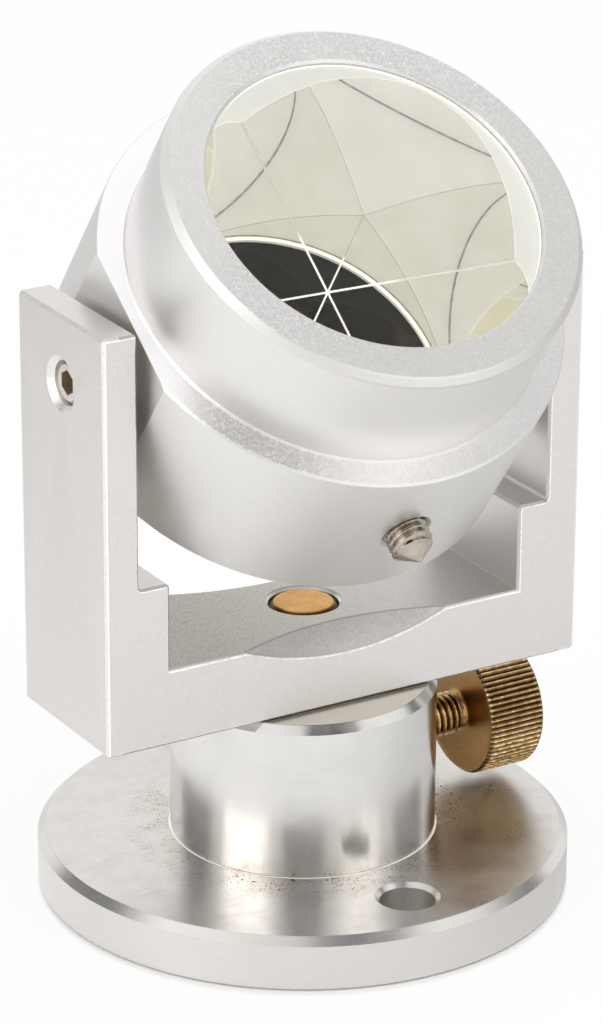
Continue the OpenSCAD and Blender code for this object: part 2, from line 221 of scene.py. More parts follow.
def blasted_head():
    """The ring and the shoulder have the sharper grain, except towards one side, where their
    anodised film is milkier, the shoulder's above all, and the shoulder is painted paler there as a
    painted highlight. The ring and its bevel are painted greyer low down, as shade, and the round
    sides are satin."""
    mat, tree, shader, coords = material("blasted_aluminium_head", Metallic=1.0)
    place = coords.outputs["Object"]
    sight = add(tree, "Mapping", place, (0, 0, PIVOT_Z * MM), (math.pi / 2 - TILT, 0, 0),
                vector_type="TEXTURE")
    along = add(tree, "SeparateXYZ", sight).outputs[2]
    milk = add(tree, "VectorMath", sight, MILKY_LIT_SIDE, operation="DOT_PRODUCT")
    ring = between(tree, along, FACE_S - 0.1, FACE_S + 1)
    shoulder = between(tree, along, SHOULDER_S - 0.1, SHOULDER_S + 0.1)
    strength = add(tree, "MapRange", milk, 12 * MM, 20 * MM, 1.0, 0.25, **EASED)
    calm = add(tree, "MapRange", milk, -4 * MM, 7 * MM, 0.35, 1.0, **EASED)
    strong = add(tree, "Math", shoulder, calm, **TIMES)
    lower = add(tree, "VectorMath", sight, LOWER_SIDE, operation="DOT_PRODUCT")
    sharp = add(tree, "MapRange", lower, -6 * MM, 18 * MM, 0.75, 0.4, **EASED)
    strong = add(tree, "Math", add(tree, "Math", ring, sharp, **TIMES), strong, **LARGER)
    coarse = add(tree, "Math", strong, strength, **TIMES)
    colour, rough = blasted(tree, shader, place, "#ecebe8", "#f2f0ee", coarse)
    # Painted highlight: the shoulder is painted paler towards the milky side, for light that the
    # collar's wall throws on it
    shoulder_highlight = add(tree, "MapRange", milk, 13 * MM, 19.5 * MM, 0.1, 1.0, **EASED)
    shoulder_highlight = add(tree, "Math", shoulder, shoulder_highlight, **TIMES)
    colour = add(tree, "Mix", shoulder_highlight, colour, linear("#fdfbfd"), **COLOURS)
    bevel = between(tree, along, BEVEL_S, FACE_S - 0.15)
    # Painted shade: the ring and its bevel are painted greyer towards the lower side
    lower_shade = add(tree, "MapRange", lower, -6 * MM, 18 * MM, 0.0, 0.24, **EASED)
    lower_shade = add(tree, "Math", add(tree, "Math", ring, bevel, **LARGER), lower_shade, **TIMES)
    colour = add(tree, "Mix", lower_shade, colour, linear("#c4c1bd"), **COLOURS)
    # The ring's milky film and the shoulder's painted highlight take away some metal, so that the
    # lamps light them as paint
    milky = add(tree, "Math", add(tree, "Math", ring, 0.25, **TIMES), shoulder_highlight, **LARGER)
    rough = add(tree, "Math", rough, add(tree, "Math", bevel, 0.15, **TIMES), operation="ADD")
    feed(tree, shader, Base_Color=colour, Roughness=rough,
         Metallic=add(tree, "MapRange", milky, 0.0, 1.0, 1.0, 0.25))
    return mat


def blasted_yoke():
    """The yoke's edges are rubbed bare and painted white as a highlight, and the front ones glow a
    little for the lamp that a rounded edge always catches. Inside the yoke only a fine line is
    bright, over a bevel painted darker as shade. The scallops have the sharper grain and, like the
    inner walls, are painted paler as lit; the floor holds a grey film, partly grime and partly
    painted shade under the head, and dark pits from handling, more of them towards -X."""
    mat, tree, shader, coords = material("blasted_aluminium_yoke", Metallic=1.0,
                                         Emission_Color=(1, 1, 1, 1))
    place = coords.outputs["Object"]
    x, y, z = add(tree, "SeparateXYZ", place).outputs
    across = add(tree, "Math", x, operation="ABSOLUTE")
    deep = add(tree, "Math", y, operation="ABSOLUTE")
    inside = between(tree, deep, -1, YOKE_HALF_T - YOKE_EDGE, 0.02)
    inner = add(tree, "Math", between(tree, across, -1, FLOOR_HALF_W - 0.1), inside, **TIMES)
    hollow = between(tree, z, YOKE_FLOOR - SCALLOP_DEPTH, YOKE_FLOOR - 0.12, 0.03)
    scallop = add(tree, "Math", inner, hollow, **TIMES)
    floor = between(tree, z, YOKE_FLOOR - 0.1, YOKE_FLOOR + 0.1, 0.03)
    floor = add(tree, "Math", inner, floor, **TIMES)
    colour, rough = blasted(tree, shader, place, "#e0ddda", "#e7e4e1", scallop)
    # Painted light: the scallops are painted paler, as if lit from the front
    bright = add(tree, "Math", scallop, 0.45, **TIMES)
    colour = add(tree, "Mix", bright, colour, linear("#ffffff"), **COLOURS)
    # Painted light: the arms' inner walls are painted paler
    wall = between(tree, across, FLOOR_HALF_W - 0.1, FLOOR_HALF_W + 0.1)
    wall = add(tree, "Math", wall, inside, **TIMES)
    colour = add(tree, "Mix", wall, colour, linear("#eceae6"), **COLOURS)
    # The floor's grey film is partly grime and partly painted shade under the head; the dark pits
    # from handling go with it
    used_and_shaded = add(tree, "MapRange", x, -20 * MM, 16 * MM, 1.0, 0.45, **EASED)
    used_and_shaded = add(tree, "Math", used_and_shaded, floor, **TIMES)
    film = add(tree, "TexNoise", place, sized(0.22), 2.0)
    film = add(tree, "MapRange", film, 0.35, 0.65, 0.75, 1.0, **EASED)
    film = add(tree, "Math", used_and_shaded, film, **TIMES)
    colour = add(tree, "Mix", film, colour, linear("#a7a198"), **COLOURS)
    specks = add(tree, "Math", dots(tree, place, 0.36, 0.3, 0.17),
                 dots(tree, place, 1.1, 0.16, 0.3), **LARGER)
    clusters = add(tree, "TexNoise", place, sized(3), 2.0)
    clusters = add(tree, "MapRange", clusters, 0.35, 0.6, 0.35, 1.0, **EASED)
    specks = add(tree, "Math", add(tree, "Math", specks, clusters, **TIMES), used_and_shaded, **TIMES)
    colour = add(tree, "Mix", specks, colour, linear("#5f5a50"), **COLOURS)
    # An edge is where the surface faces none of the three axes
    facing = add(tree, "VectorMath", coords.outputs["Normal"], operation="ABSOLUTE")
    x_facing, y_facing, z_facing = add(tree, "SeparateXYZ", facing).outputs
    most = add(tree, "Math", y_facing, z_facing, **LARGER)
    most = add(tree, "Math", x_facing, most, **LARGER)
    edges = add(tree, "MapRange", most, 0.93, 0.82, **EASED)
    wide = add(tree, "MapRange", deep, (YOKE_HALF_T - 0.16) * MM, (YOKE_HALF_T - 0.07) * MM,
               0.3, 1.0, **EASED)
    fine = add(tree, "MapRange", deep, (YOKE_HALF_T - 0.11) * MM, (YOKE_HALF_T - 0.05) * MM,
               0.08, 1.0, **EASED)
    corner = add(tree, "Math", across, YOKE_CORNER_X * MM, operation="GREATER_THAN")
    front = add(tree, "Math", add(tree, "Math", wide, corner, **TIMES), fine, **LARGER)
    bare_and_highlit = add(tree, "Math", edges, front, **TIMES)
    kept = add(tree, "Math", add(tree, "Math", corner, hollow, **LARGER), scallop, **LARGER)
    # Painted shade: the inner bevels, but for a fine line, are painted greyer
    darker_tone = add(tree, "Math", add(tree, "Math", edges, bare_and_highlit, operation="SUBTRACT"),
               add(tree, "Math", 1.0, kept, operation="SUBTRACT"), **TIMES)
    colour = add(tree, "Mix", darker_tone, colour, linear("#c9c6c1"), **COLOURS)
    # The scallops' lips get the painted highlight too
    upward = add(tree, "Math", z_facing, 0.5, operation="GREATER_THAN")
    lip = between(tree, deep, YOKE_HALF_T - 0.18, YOKE_HALF_T + 1, 0.03)
    lip = add(tree, "Math", add(tree, "Math", hollow, lip, **TIMES), upward, **TIMES)
    bare_and_highlit = add(tree, "Math", bare_and_highlit, lip, **LARGER)
    bare_and_highlit = add(tree, "Math", bare_and_highlit, add(tree, "Math", 1.0, scallop, operation="SUBTRACT"), **TIMES)
    worn = add(tree, "TexNoise", place, sized(0.3), 2.0)
    worn = add(tree, "MapRange", worn, 0.35, 0.6, 0.4, 1.0, **EASED)
    bare_and_highlit = add(tree, "Math", bare_and_highlit, worn, **TIMES)
    # Painted highlight: the rubbed edges and the lips are painted white and made less metal, partly
    # bare metal and partly the lamps' highlight
    colour = add(tree, "Mix", bare_and_highlit, colour, linear("#ffffff"), **COLOURS)
    glow = add(tree, "Math", add(tree, "Math", bare_and_highlit, front, **TIMES), 0.3, **TIMES)
    feed(tree, shader, Base_Color=colour, Roughness=rough, Emission_Strength=glow,
         Metallic=add(tree, "MapRange", bare_and_highlit, 0.0, 1.0, 1.0, 0.1))
    return mat


def turning(tree, shader, place):
    """Height and radius of a turned surface, and its grooves. The tool leaves them round the axis,
    and they draw each reflection out across them: the shader's anisotropy does that. The real
    grooves of about 0.05 mm are drawn at 0.2 mm, so that they show."""
    feed(tree, shader, Tangent=add(tree, "Tangent", direction_type="RADIAL", axis="Z"))
    z = add(tree, "SeparateXYZ", place).outputs[2]
    radius = from_axis(tree, place)
    groove = add(tree, "TexNoise", add(tree, "CombineXYZ", radius, None, z), sized(0.2), 2.0)
    feed(tree, shader, Normal=add(tree, "Bump", 0.1, 0.01 * MM, None, groove))
    return z, radius, groove


def turned_post():
    """Turned aluminium, left bright: long soft reflections, and a grey film on the top face, partly
    where the yoke rubs and partly painted shade under the yoke."""
    mat, tree, shader, coords = material("turned_aluminium_post", Metallic=1.0, Anisotropic=0.7,
                                         Anisotropic_Rotation=0.25)
    place = coords.outputs["Object"]
    z, _, groove = turning(tree, shader, place)
    cloud = add(tree, "TexNoise", place, sized(5), 4.0)
    grain = add(tree, "MapRange", groove, 0.25, 0.75, **EASED)
    colour = add(tree, "Mix", grain, linear("#e5e3e0"), linear("#e9e7e4"), **COLOURS)
    darker_tone = add(tree, "MapRange", cloud, 0.4, 0.75, 0.0, 0.3, **EASED)
    colour = add(tree, "Mix", darker_tone, colour, linear("#d9d6d1"), **COLOURS)
    # The top face is painted greyer: partly film, partly painted shade under the yoke
    top = add(tree, "MapRange", z, (POST_TOP - 0.1) * MM, (POST_TOP - 0.02) * MM, **EASED)
    colour = add(tree, "Mix", top, colour, linear("#c3bfb6"), **COLOURS)
    specks = add(tree, "Math", dots(tree, place, 0.5, 0.12, 0.2), top, **TIMES)
    nicks = dots(tree, add(tree, "Mapping", place, None, None, (1, 1, 3)), 2.4, 0.05, 0.35)
    marks = add(tree, "Math", add(tree, "Math", specks, nicks, **LARGER), 0.5, **TIMES)
    colour = add(tree, "Mix", marks, colour, linear("#8d877d"), **COLOURS)
    feed(tree, shader, Base_Color=colour,
         Roughness=add(tree, "MapRange", cloud, 0.3, 0.7, 0.17, 0.24, **EASED))
    return mat


def turned_flange():
    """Turned aluminium with a handled top: a thin grey-brown film, dirt specks round the post's
    foot and a few hair scratches, over soft reflections, and a bright line round the post's foot
    that is a painted highlight and glows a little."""
    mat, tree, shader, coords = material("turned_aluminium_flange", Metallic=1.0, Anisotropic=0.6,
                                         Anisotropic_Rotation=0.25,
                                         Emission_Color=linear("#fffaf0"))
    place = coords.outputs["Object"]
    z, radius, groove = turning(tree, shader, place)
    cloud = add(tree, "TexNoise", place, sized(6), 4.0)
    grain = add(tree, "MapRange", groove, 0.25, 0.75, **EASED)
    colour = add(tree, "Mix", grain, linear("#dfdcd8"), linear("#e4e1dd"), **COLOURS)
    top = add(tree, "MapRange", z, (FLANGE_TOP - 0.1) * MM, (FLANGE_TOP - 0.02) * MM, **EASED)
    stains = add(tree, "TexNoise", place, sized(3), 8.0, 0.7)
    stains = add(tree, "MapRange", stains, 0.4, 0.72, 0.08, 0.3, **EASED)
    film = add(tree, "Math", stains, top, **TIMES)
    colour = add(tree, "Mix", film, colour, linear("#b8afa3"), **COLOURS)
    near = add(tree, "MapRange", radius, (POST_R + 6.5) * MM, (POST_R + 0.3) * MM, **EASED)
    patches = add(tree, "TexNoise", place, sized(4), 3.0)
    patches = add(tree, "MapRange", patches, 0.38, 0.56, 0.1, 1.0, **EASED)
    dusty = add(tree, "Math", near, patches, **TIMES)
    dusty = add(tree, "Math", dusty, top, **TIMES)
    brown = add(tree, "Math", dusty, 0.3, **TIMES)
    colour = add(tree, "Mix", brown, colour, linear("#a3937f"), **COLOURS)
    specks = add(tree, "Math", dots(tree, place, 0.3, 0.5, 0.18),
                 dots(tree, place, 0.8, 0.3, 0.34), **LARGER)
    specks = add(tree, "Math", specks, add(tree, "MapRange", dusty, 0.0, 0.45), **TIMES)
    colour = add(tree, "Mix", specks, colour, linear("#3d3229"), **COLOURS)
    # Hair scratches, each set with its direction and how many times longer it is than wide
    some = add(tree, "MapRange", cloud, 0.42, 0.6, 0.1, 0.5, **EASED)
    for turn, length in ((0.5, 27), (-0.7, 18), (1.9, 15), (2.6, 22), (1.2, 30)):
        line = add(tree, "Mapping", place, None, (0, 0, turn), (1 / length, 1, 1))
        hair = add(tree, "TexNoise", line, sized(0.22), 1.0)
        hair = add(tree, "MapRange", hair, 0.69, 0.75, **EASED)
        hair = add(tree, "Math", add(tree, "Math", hair, some, **TIMES), top, **TIMES)
        colour = add(tree, "Mix", hair, colour, linear("#f7f4ee"), **COLOURS)
    # Painted highlight: a fine line round the post's foot is painted near white, glows and is less
    # metal
    foot = between(tree, radius, POST_R, POST_R + 0.17, 0.03)
    foot = add(tree, "Math", foot, top, **TIMES)
    colour = add(tree, "Mix", foot, colour, linear("#fffaf0"), **COLOURS)
    rough = add(tree, "MapRange", cloud, 0.3, 0.7, 0.26, 0.32, **EASED)
    rough = add(tree, "Math", rough, add(tree, "Math", film, 0.12, **TIMES), operation="ADD")
    feed(tree, shader, Base_Color=colour, Roughness=rough,
         Emission_Strength=add(tree, "Math", foot, 0.3, **TIMES),
         Metallic=add(tree, "MapRange", foot, 0.0, 1.0, 1.0, 0.2))
    return mat


def bare_metal(name, low, high, rough, lumps, relief=0.03, ring=None):
    """Bare machined metal: clouds of tarnish between two colours, lumps mm wide. Where the groove
    attribute is high, as between threads and ridges, it is darkened, partly dirt and partly painted
    shade in the hollows; beyond the radius ring round the pan axis it is painted dark, as shade in
    the gap there."""
    mat, tree, shader, coords = material(name, Metallic=1.0)
    place = coords.outputs["Object"]
    cloud = add(tree, "TexNoise", place, sized(lumps), 5.0, 0.6)
    tarnish = add(tree, "MapRange", cloud, 0.32, 0.68, **EASED)
    colour = add(tree, "Mix", tarnish, linear(low), linear(high), **COLOURS)
    # Painted shade: beyond the ring the metal is painted dark, as the gap's shade
    if ring is not None:
        gap_shade = add(tree, "MapRange", from_axis(tree, place), ring * MM, (ring + 0.1) * MM,
                  0.0, 0.85, **EASED)
        colour = add(tree, "Mix", gap_shade, colour, linear("#2b2113"), **COLOURS)
    # The groove attribute darkens the hollows: partly dirt, partly painted shade
    depth = add(tree, "Attribute", attribute_name="groove").outputs["Fac"]
    dirt = add(tree, "MapRange", depth, 0.1, 1.0, 0.0, 0.93, **EASED)
    colour = add(tree, "Mix", dirt, colour, linear("#34210e"), **COLOURS)
    feed(tree, shader, Base_Color=colour,
         Roughness=add(tree, "MapRange", cloud, 0.3, 0.7, rough + 0.06, rough - 0.04, **EASED),
         Normal=add(tree, "Bump", 0.2, relief * MM, None, cloud))
    return mat


def moulded(name, low, high, rough, lumps, **sockets):
    """Moulded rubber or nylon, and ground glass: matt, with a faint cloud and a fine grain, which
    is drawn at 0.2 mm, coarser than the real one, so that it shows."""
    mat, tree, shader, coords = material(name, Roughness=rough, **sockets)
    place = coords.outputs["Object"]
    cloud = add(tree, "TexNoise", place, sized(lumps), 4.0)
    cloud = add(tree, "MapRange", cloud, 0.3, 0.7, **EASED)
    grain = add(tree, "TexNoise", place, sized(0.2))
    feed(tree, shader, Base_Color=add(tree, "Mix", cloud, linear(low), linear(high), **COLOURS),
         Normal=add(tree, "Bump", 0.3, 0.03 * MM, None, grain))
    return mat


HEAD_SKIN = blasted_head()
YOKE_SKIN = blasted_yoke()
FLANGE_SKIN = turned_flange()
POST_SKIN = turned_post()
STEEL = bare_metal("stainless_steel", "#b1a79c", "#c6bdb3", 0.15, 1.6)
FACED_STEEL = bare_metal("faced_steel", "#d8d4ce", "#e4e0da", 0.25, 1.6)
BRASS = bare_metal("turned_brass", "#cf9d58", "#dcab69", 0.34, 5.0, 0.01)
KNURLED_BRASS = bare_metal("knurled_brass", "#d1a668", "#f6daa8", 0.22, 0.7)
# Painted light: the socket's steel is paler than the screw's, for light in the deep socket
LIT_SOCKET_STEEL = bare_metal("oiled_socket_steel_painted_light", "#c0b69f", "#cfc5ad", 0.45, 1.0)
SPIGOT_BRASS = bare_metal("turned_brass_spigot", "#c9954c", "#d8a45c", 0.3, 2.0, 0.02,
                          ring=STUD_FACE_R)
FACED_BRASS = bare_metal("faced_brass", "#b98f56", "#c59b61", 0.3, 6.0, 0.01)
RUBBER = moulded("seal_rubber", "#121212", "#1c1c1b", 0.6, 2.0)
NYLON = moulded("natural_nylon", "#ebe8df", "#f2efe8", 0.45, 3.0)
# The seal is seen by way of the glass. Its glow stands for light that comes to it the same way
SEAL = moulded("white_seal", "#f4f3ef", "#fdfcf9", 0.5, 3.0, Emission_Color=linear("#fdfdfb"),
               Emission_Strength=0.85)

for node, skin in {
    "base_flange": FLANGE_SKIN, "base_post": POST_SKIN, "base_screw": STEEL, "clamp_pad": BRASS,
    "pan_spigot": SPIGOT_BRASS, "pan_ring": RUBBER, "yoke": YOKE_SKIN, "tilt_washer_left": NYLON,
    "tilt_washer_right": NYLON, "head_housing": HEAD_SKIN, "front_seal": SEAL,
    "prism_cradle": NYLON, "spring_washer": STEEL, "rear_cover": HEAD_SKIN, "rear_seal": RUBBER,
}.items():
    NODES[node].data.materials.clear()
    NODES[node].data.materials.append(skin)


def piece(name, points, faces, body, node, skins, skin_of=None, groove=None):
    """Mesh object from points in mm and faces. It rides on body and stands for the CAD node."""
    mesh = bpy.data.meshes.new(name)
    mesh.from_pydata((points * MM).tolist(), [], faces)
    for skin in skins:
        mesh.materials.append(skin)
    if skin_of is not None:
        mesh.polygons.foreach_set("material_index", np.asarray(skin_of, np.int32))
    if groove is not None:
        mesh.attributes.new("groove", "FLOAT", "POINT").data.foreach_set("value", groove)
    mesh.validate()
    mesh.shade_smooth()
    mesh.set_sharp_from_angle(angle=SHARP_ANGLE)
    obj = bpy.data.objects.new(name, mesh)
    scene.collection.objects.link(obj)
    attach(obj, body)
    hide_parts(node)
    return obj


def revolve(stations, radii, start=0):
    """Closed surface of revolution about Z: at height stations[i] and angle j the radius is
    radii[i, j], and both ends close on the axis. Points are numbered from start."""
    rows, around = radii.shape
    angle = np.arange(around) * 2 * np.pi / around
    ring = np.stack([radii * np.cos(angle), radii * np.sin(angle),
                     np.broadcast_to(stations[:, None], radii.shape)], -1).reshape(-1, 3)
    points = np.vstack([ring, [0, 0, stations[0]], [0, 0, stations[-1]]])
    i, j = np.meshgrid(np.arange(rows - 1), np.arange(around), indexing="ij")
    k = (j + 1) % around
    quads = np.stack([i * around + j, i * around + k, (i + 1) * around + k, (i + 1) * around + j],
                     -1).reshape(-1, 4)
    j = np.arange(around)
    k = (j + 1) % around
    last = (rows - 1) * around
    low = np.stack([np.full(around, rows * around), k, j], -1)
    high = np.stack([np.full(around, rows * around + 1), last + j, last + k], -1)
    return points, (quads + start).tolist() + (low + start).tolist() + (high + start).tolist()


def thread(stations, run_in=None, run_out=None):
    """Radii of a V thread: at height z and angle a the depth follows the distance of
    z / pitch - a / 360 degrees from the nearest whole number, with narrow flats at crest and root.
    The thread dies away to a plain core at the heights run_in and run_out."""
    angle = np.arange(SCREW_POINTS) * 2 * np.pi / SCREW_POINTS
    phase = stations[:, None] / THREAD_PITCH - angle[None, :] / (2 * np.pi)
    height = np.clip((np.abs(phase % 1.0 * 2 - 1) - 0.12) / 0.72, 0, 1)
    keep = np.ones(len(stations))
    if run_in is not None:
        keep *= np.clip((stations - run_in) / THREAD_FADE, 0, 1)
    if run_out is not None:
        keep *= np.clip((run_out - stations) / THREAD_FADE, 0, 1)
    return THREAD_R - THREAD_DEPTH * (1 - (1 - height) * keep[:, None])


def along_x(points):
    """Turns a piece made along +Z to run along +X, at the thumb screw's height."""
    return np.stack([points[:, 2], points[:, 0], points[:, 1] + CLAMP_Z], -1)


def in_head(points):
    """Puts a piece made along the line of sight (+Z) on the tilt axis, at its angle."""
    c, s = math.sin(TILT), math.cos(TILT)
    x, y, z = np.asarray(points, float).T
    return np.stack([x, c * y - s * z, s * y + c * z + PIVOT_Z], -1)


def thumb_screw():
    """Brass screw and knob, two closed surfaces of revolution. The knob's radius at angle a is that
    of its chamfered outline or, where less, KNOB_R less the ridge's depth, which rises in a
    straight line from each crest to the valley beside it."""
    neck = KNOB_X - NECK_LEN
    turns = np.arange(THREAD_START, neck + 0.001, THREAD_PITCH / 20)
    cut = thread(turns, run_in=THREAD_START - 0.3, run_out=neck)
    even = np.ones((1, SCREW_POINTS))
    stations = np.concatenate([[THREAD_START - 1, THREAD_START - 0.001], turns,
                               [neck + 0.05, KNOB_X + 1]])
    radii = np.vstack([TIP_R * even, TIP_R * even, cut, NECK_R * even, NECK_R * even])
    points, faces = revolve(stations, radii)
    # Groove values for the thread's hollows, which the material darkens as dirt and painted shade
    low = np.clip((THREAD_R + 0.1 - radii) / 0.5, 0, 1) * 0.9
    low[:2] = low[-2:] = 0

    steps = np.linspace(0, np.pi / 2, 8)
    outline = [(KNOB_X - KNOB_FILLET, NECK_R - 0.3)]
    outline += [(KNOB_X - KNOB_FILLET * (1 - math.sin(a)),
                 NECK_R + KNOB_FILLET * (1 - math.cos(a))) for a in steps]
    outline += [(KNOB_X, r) for r in (3.2, 4.2, 5.2, 6.2, KNOB_R - KNOB_EDGE - 0.06)]
    face_rows = len(outline)
    outline += [(KNOB_X + x, KNOB_R - KNOB_EDGE + x) for x in np.linspace(0.02, KNOB_EDGE, 6)]
    outline += [(KNOB_X + x, KNOB_R)
                for x in np.linspace(KNOB_EDGE, KNOB_LEN - KNOB_EDGE, 26)[1:]]
    outline += [(KNOB_X + KNOB_LEN - x, KNOB_R - KNOB_EDGE + x)
                for x in np.linspace(KNOB_EDGE, 0, 6)[1:]]
    outer_row = len(outline)
    outline += [(KNOB_X + KNOB_LEN, r) for r in (6.2, 4.2, 2.0)]
    stations, outer = np.array(outline).T
    angle = np.arange(KNURL_COUNT * RIDGE_POINTS) / RIDGE_POINTS
    fall = np.abs((angle + 0.5) % 1.0 - 0.5) * 2
    ridged = np.zeros(len(stations))
    ridged[face_rows:outer_row] = 1
    rng = np.random.default_rng(NICKS_SEED)
    nicks = np.abs(rng.normal(0, 0.045, (len(stations), KNURL_COUNT))).clip(0, 0.12)
    nicks = np.repeat(nicks, RIDGE_POINTS, axis=1) * (1 - fall)
    crest = KNOB_R - KNURL_DEPTH * fall[None, :] - nicks
    radii = np.where(ridged[:, None] > 0, np.minimum(outer[:, None], crest), outer[:, None])
    knob, knob_faces = revolve(stations, radii, start=len(points))
    # Groove values for the knurl's valleys, which the material darkens as dirt and painted shade
    valley = np.append((fall[None, :] ** 0.4 * ridged[:, None]).ravel(), [0, 0])
    # The knob's flat ends are faced, and so is the cap that closes the outer one
    skin_of = np.zeros(len(faces) + len(knob_faces), int)
    skin_of[len(faces):len(faces) + (face_rows - 1) * angle.size] = 1
    skin_of[len(faces) + (outer_row - 1) * angle.size:] = 1
    piece("thumb_screw_knurled", along_x(np.vstack([points, knob])), faces + knob_faces,
          "thumb_screw", "thumb_screw", [KNURLED_BRASS, FACED_BRASS], skin_of,
          np.concatenate([low.ravel(), [0, 0], valley]))


def grub_screw():
    """Grub screw along +Z as one closed surface of revolution: a six-sided socket of width
    SOCKET_W / cos(angle from the middle of a side), a thread, and a cone point."""
    angle = np.arange(SCREW_POINTS) * 2 * np.pi / SCREW_POINTS
    hexagon = SOCKET_W / 2 / np.cos(angle % (np.pi / 3) - np.pi / 6)
    turns = np.arange(SCREW_EDGE, GRUB_LEN - GRUB_CONE + 0.001, THREAD_PITCH / 24)
    cut = thread(turns)
    tip = np.linspace(0, 1, 9)[1:]
    cone = THREAD_R * (1 - tip[:, None]) + 0.12 * tip[:, None]
    stations = np.concatenate([[SOCKET_DEPTH, 0, 0], turns, GRUB_LEN - GRUB_CONE * (1 - tip)])
    edge = np.full(SCREW_POINTS, THREAD_R - SCREW_EDGE - 0.05)
    radii = np.vstack([hexagon, hexagon, edge, cut, np.minimum(cone, cut[-1] + tip[:, None])])
    points, faces = revolve(stations, radii)
    # Groove values for the thread's hollows, which the material darkens as dirt and painted shade
    low = np.clip((THREAD_R - radii) / 0.5, 0, 1) * 0.3
    low[:3] = low[-len(tip):] = 0
    # The socket's wall and floor are oiled and painted paler than the screw, as painted light in
    # the deep socket, and the flat end round it is faced
    skin_of = np.zeros(len(faces), int)
    skin_of[:SCREW_POINTS] = skin_of[-2 * SCREW_POINTS:-SCREW_POINTS] = 1
    skin_of[SCREW_POINTS:3 * SCREW_POINTS] = 2
    return points, faces, np.append(low.ravel(), [0, 0]), skin_of


def grub_screws():
    """The index screw stands out of the head's underside, with a blunter cone than the pivot
    screws, which point at each other."""
    points, faces, low, skin_of = grub_screw()
    skins = [STEEL, LIT_SOCKET_STEEL, FACED_STEEL]
    x, y, along = points.T
    blunt = np.clip(along - (GRUB_LEN - GRUB_CONE), 0, None) * INDEX_BLUNT
    out = np.stack([x, GRUB_LEN - HEAD_R - INDEX_OUT - along + blunt, y], -1)
    piece("index_screw_threaded", in_head(out), faces, "head", "index_screw",
          skins, skin_of, low)
    for side, name in ((-1, "left"), (1, "right")):
        placed = np.stack([side * (GRUB_X - along), y, side * x + PIVOT_Z], -1)
        piece(f"pivot_screw_{name}_threaded", placed, faces, "yoke", f"pivot_screw_{name}",
              skins, skin_of, low)


def ground_edge(name, clear, faint):
    """Ground bevel along an edge of the cube: white up to clear mm from the apex, and of the faint
    colour beyond, where it shows less against the glass. It glows a little, painted light like the
    ground side's."""
    mat, tree, shader, coords = material(name, Roughness=0.6, Emission_Strength=0.35)
    apex = Vector(in_head([[0, 0, GLASS_FRONT - GLASS_H]])[0].tolist()) * MM
    far = add(tree, "VectorMath", coords.outputs["Object"], apex, operation="DISTANCE")
    fade = add(tree, "MapRange", far, clear * MM, (clear + 1.5) * MM, **EASED)
    colour = add(tree, "Mix", fade, linear("#fdfdfb"), linear(faint), **COLOURS)
    feed(tree, shader, Base_Color=colour, Emission_Color=colour)
    return mat


def glass_skins():
    """The glass's skins, in the order of its slots, which ends with the bevels of the three
    edges."""
    # Polished crown glass is clear and bends light, so that the silver shows as a star of mirrors
    glass = material("polished_glass", Base_Color=linear("#fdfefc"), Roughness=0.0, IOR=1.517,
                     Transmission_Weight=1.0)[0]
    # The glow stands for the light that the silvered faces throw on the ground side, which the
    # renderer can't follow through the glass
    side = moulded("ground_glass_side", "#c3c2bc", "#c8c7c2", 0.7, 5.0,
                   Emission_Color=linear("#fbfaf4"), Emission_Strength=GLASS_GLOW)
    silver, tree, shader, coords = material("silvered_face", Metallic=1.0, Roughness=0.0,
                                            Emission_Color=linear("#ebe8d9"))
    film = add(tree, "TexNoise", coords.outputs["Object"], sized(7), 3.0)
    film = add(tree, "MapRange", film, 0.3, 0.7, **EASED)
    colour = add(tree, "Mix", film, linear("#f3f2ee"), linear("#f7f6f3"), **COLOURS)
    # Light that is caught between the front and the silver ends on the ground side. After eight
    # reflections it isn't followed further, and has that side's tone
    path = add(tree, "LightPath")
    caught = add(tree, "Math", path.outputs["Ray Depth"], 8.5, operation="GREATER_THAN")
    colour = add(tree, "Mix", caught, colour, (0, 0, 0, 1), **COLOURS)
    feed(tree, shader, Base_Color=colour, Emission_Strength=add(tree, "Math", caught, 1.4, **TIMES))
    # Painted light: the ground rim glows, for light that reaches it through the glass
    glowing_rim = moulded("ground_glass_rim", "#84878a", "#bfc1c0", 0.6, 0.8,
                  Emission_Color=linear("#b6b9ba"), Emission_Strength=0.36)
    # The silver's edge is a dark step, which shows only by way of one or two of the other faces.
    # Seen in any other way it is pale and glows like the ground side, painted light
    coat, tree, shader, coords = material("coat_edge", Roughness=0.6)
    path = add(tree, "LightPath")
    direct = add(tree, "Math", path.outputs["Ray Depth"], 2.5, 1.1, operation="COMPARE")
    direct = add(tree, "Math", 1.0, direct, operation="SUBTRACT")
    spots = add(tree, "TexNoise", coords.outputs["Object"], sized(0.7), 3.0)
    spots = add(tree, "MapRange", spots, 0.35, 0.65, **EASED)
    dark = add(tree, "Mix", spots, linear("#8f9088"), linear("#c3c2b8"), **COLOURS)
    feed(tree, shader, Base_Color=add(tree, "Mix", direct, dark, linear("#c6c5bf"), **COLOURS),
         Emission_Color=add(tree, "Mix", direct, (0, 0, 0, 1), linear("#fbfaf4"), **COLOURS))
    shader.inputs["Emission Strength"].default_value = GLASS_GLOW
    return [glass, side, silver, glowing_rim, coat, ground_edge("ground_edge_upper", 7.0, "#cbc9be"),
            ground_edge("ground_edge_lower", 9.5, "#b7b6aa"),
            ground_edge("ground_edge_side", 8.0, "#dedcd2")]


